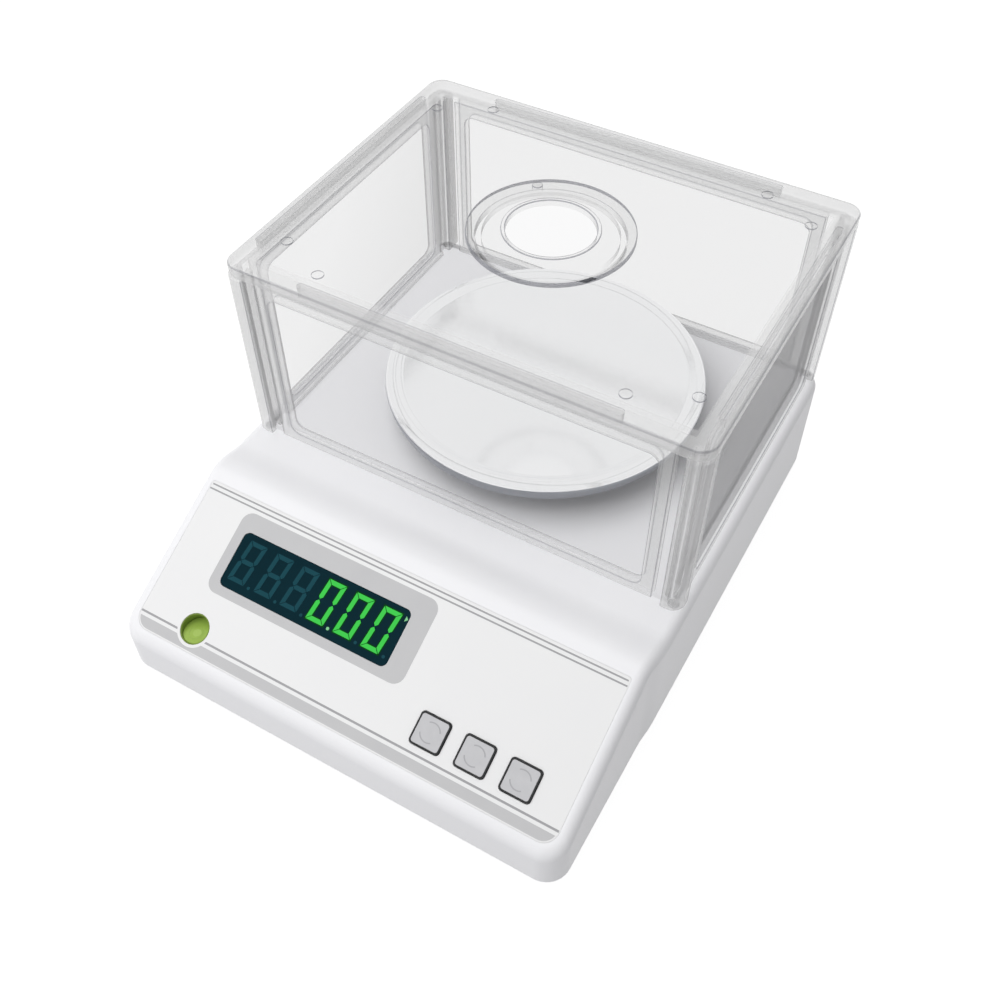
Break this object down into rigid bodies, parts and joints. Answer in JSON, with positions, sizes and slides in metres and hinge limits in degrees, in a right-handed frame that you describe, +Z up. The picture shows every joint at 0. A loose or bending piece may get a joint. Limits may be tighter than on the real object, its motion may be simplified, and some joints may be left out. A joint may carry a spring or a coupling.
{
  "type": "counting scale with wind shield",
  "caption": "Bench counting scale: white case with a sloping control deck, round steel pan, clear lift-off wind shield with a lid and a port cover, and levelling feet.",
  "frame": {"origin": "on the bench, under the middle of the case in plan", "axes": "+Z up, +Y towards the back (the case's long side), +X to the user's right"},
  "size_m": [0.1926, 0.2384, 0.1435],
  "materials": {
    "case": "white moulded plastic, fine satin",
    "film": "printed polyester film",
    "window": "dark teal tinted acrylic",
    "display": "black display block",
    "key": "light grey rubber-feel key",
    "cup": "dark moulded cup",
    "liquid": "yellow-green liquid under a clear lens",
    "clear": "clear acrylic, polished",
    "pan": "polished stainless steel",
    "aluminium": "milled aluminium",
    "screw": "zinc-plated steel",
    "board": "green circuit board",
    "rubber": "black rubber",
    "grey": "grey moulded plastic",
    "black": "black moulded plastic",
    "battery": "shrink-sleeved cells"
  },
  "bodies": {
    "case": {"upper_case": "case", "lower_case": "grey", "deck_overlay": "film", "display_window": "window", "display_module": "display", "deck_board": "board", "main_board": "board", "level_cup": "cup", "level_vial": "liquid", "dc_jack": "black", "switch_frame": "black", "battery": "battery", "load_cell": "aluminium", "cell_spacer": "aluminium", "tact_switch_1": "black", "tact_switch_2": "black", "tact_switch_3": "black", "case_screw_1": "screw", "case_screw_2": "screw", "case_screw_3": "screw", "case_screw_4": "screw", "cell_screw_1": "screw", "cell_screw_2": "screw", "deck_board_screw_1": "screw", "deck_board_screw_2": "screw", "deck_board_screw_3": "screw", "main_board_screw_1": "screw", "main_board_screw_2": "screw"},
    "wind_shield": {"panel_front": "clear", "panel_right": "clear", "panel_back": "clear", "panel_left": "clear", "post_front_left": "clear", "post_front_right": "clear", "post_back_left": "clear", "post_back_right": "clear"},
    "shield_lid": {"shield_lid": "clear"},
    "port_cover": {"port_cover": "clear"},
    "weighing_beam": {"cell_bracket": "aluminium", "bracket_screw_1": "screw", "bracket_screw_2": "screw"},
    "pan_support": {"pan_support": "grey", "support_pad_1": "rubber", "support_pad_2": "rubber", "support_pad_3": "rubber", "support_pad_4": "rubber"},
    "pan": {"pan": "pan"},
    "key_1": {"key_1": "key"},
    "key_2": {"key_2": "key"},
    "key_3": {"key_3": "key"},
    "power_rocker": {"power_rocker": "black"},
    "battery_door": {"battery_door": "grey"},
    "foot_pad_1": {"foot_pad_1": "rubber"},
    "foot_screw_1": {"foot_screw_1": "grey"},
    "foot_pad_2": {"foot_pad_2": "rubber"},
    "foot_screw_2": {"foot_screw_2": "grey"},
    "foot_pad_3": {"foot_pad_3": "rubber"},
    "foot_screw_3": {"foot_screw_3": "grey"},
    "foot_pad_4": {"foot_pad_4": "rubber"},
    "foot_screw_4": {"foot_screw_4": "grey"}
  },
  "joints": [
    {"name": "wind_shield_lift", "type": "slide", "parent": "case", "child": "wind_shield", "axis": [0, 0, 1], "range_m": [0, 0.04]},
    {"name": "lid_lift", "type": "slide", "parent": "wind_shield", "child": "shield_lid", "axis": [0, 0, 1], "range_m": [0, 0.03]},
    {"name": "port_cover_lift", "type": "slide", "parent": "shield_lid", "child": "port_cover", "axis": [0, 0, 1], "range_m": [0, 0.025]},
    {"name": "beam_sink", "type": "slide", "parent": "case", "child": "weighing_beam", "axis": [0, 0, 1], "range_m": [-0.00025, 0], "stiffness_N_per_m": 20000, "springref_m": 0.0003},
    {"name": "pan_support_lift", "type": "slide", "parent": "weighing_beam", "child": "pan_support", "axis": [0, 0, 1], "range_m": [0, 0.02]},
    {"name": "pan_lift", "type": "slide", "parent": "pan_support", "child": "pan", "axis": [0, 0, 1], "range_m": [0, 0.035]},
    {"name": "key_1_press", "type": "slide", "parent": "case", "child": "key_1", "axis": [0, -0.4384, 0.8988], "range_m": [-0.0008, 0], "stiffness_N_per_m": 1500, "springref_m": 0.0004},
    {"name": "key_2_press", "type": "slide", "parent": "case", "child": "key_2", "axis": [0, -0.4384, 0.8988], "range_m": [-0.0008, 0], "stiffness_N_per_m": 1500, "springref_m": 0.0004},
    {"name": "key_3_press", "type": "slide", "parent": "case", "child": "key_3", "axis": [0, -0.4384, 0.8988], "range_m": [-0.0008, 0], "stiffness_N_per_m": 1500, "springref_m": 0.0004},
    {"name": "power_rocker_tip", "type": "hinge", "parent": "case", "child": "power_rocker", "pos_m": [-0.04, 0.11725, 0.028], "axis": [0, 0, 1], "range_deg": [0, 16]},
    {"name": "battery_door_slide", "type": "slide", "parent": "case", "child": "battery_door", "axis": [0, 1, 0], "range_m": [0, 0.008]},
    {"name": "foot_1_lift", "type": "slide", "parent": "case", "child": "foot_pad_1", "axis": [0, 0, 1], "range_m": [0, 0.003]},
    {"name": "foot_1_turn", "type": "hinge", "parent": "foot_pad_1", "child": "foot_screw_1", "pos_m": [-0.066, -0.096, 0.004], "axis": [0, 0, 1], "range_deg": [0, 720]},
    {"name": "foot_2_lift", "type": "slide", "parent": "case", "child": "foot_pad_2", "axis": [0, 0, 1], "range_m": [0, 0.003]},
    {"name": "foot_2_turn", "type": "hinge", "parent": "foot_pad_2", "child": "foot_screw_2", "pos_m": [0.066, -0.096, 0.004], "axis": [0, 0, 1], "range_deg": [0, 720]},
    {"name": "foot_3_lift", "type": "slide", "parent": "case", "child": "foot_pad_3", "axis": [0, 0, 1], "range_m": [0, 0.003]},
    {"name": "foot_3_turn", "type": "hinge", "parent": "foot_pad_3", "child": "foot_screw_3", "pos_m": [-0.066, 0.096, 0.004], "axis": [0, 0, 1], "range_deg": [0, 720]},
    {"name": "foot_4_lift", "type": "slide", "parent": "case", "child": "foot_pad_4", "axis": [0, 0, 1], "range_m": [0, 0.003]},
    {"name": "foot_4_turn", "type": "hinge", "parent": "foot_pad_4", "child": "foot_screw_4", "pos_m": [0.066, 0.096, 0.004], "axis": [0, 0, 1], "range_deg": [0, 720]}
  ],
  "couplings": [
    {"joint": "foot_1_turn", "follows": "foot_1_lift", "rad_per_m": 4188.8},
    {"joint": "foot_2_turn", "follows": "foot_2_lift", "rad_per_m": 4188.8},
    {"joint": "foot_3_turn", "follows": "foot_3_lift", "rad_per_m": 4188.8},
    {"joint": "foot_4_turn", "follows": "foot_4_lift", "rad_per_m": 4188.8}
  ]
}
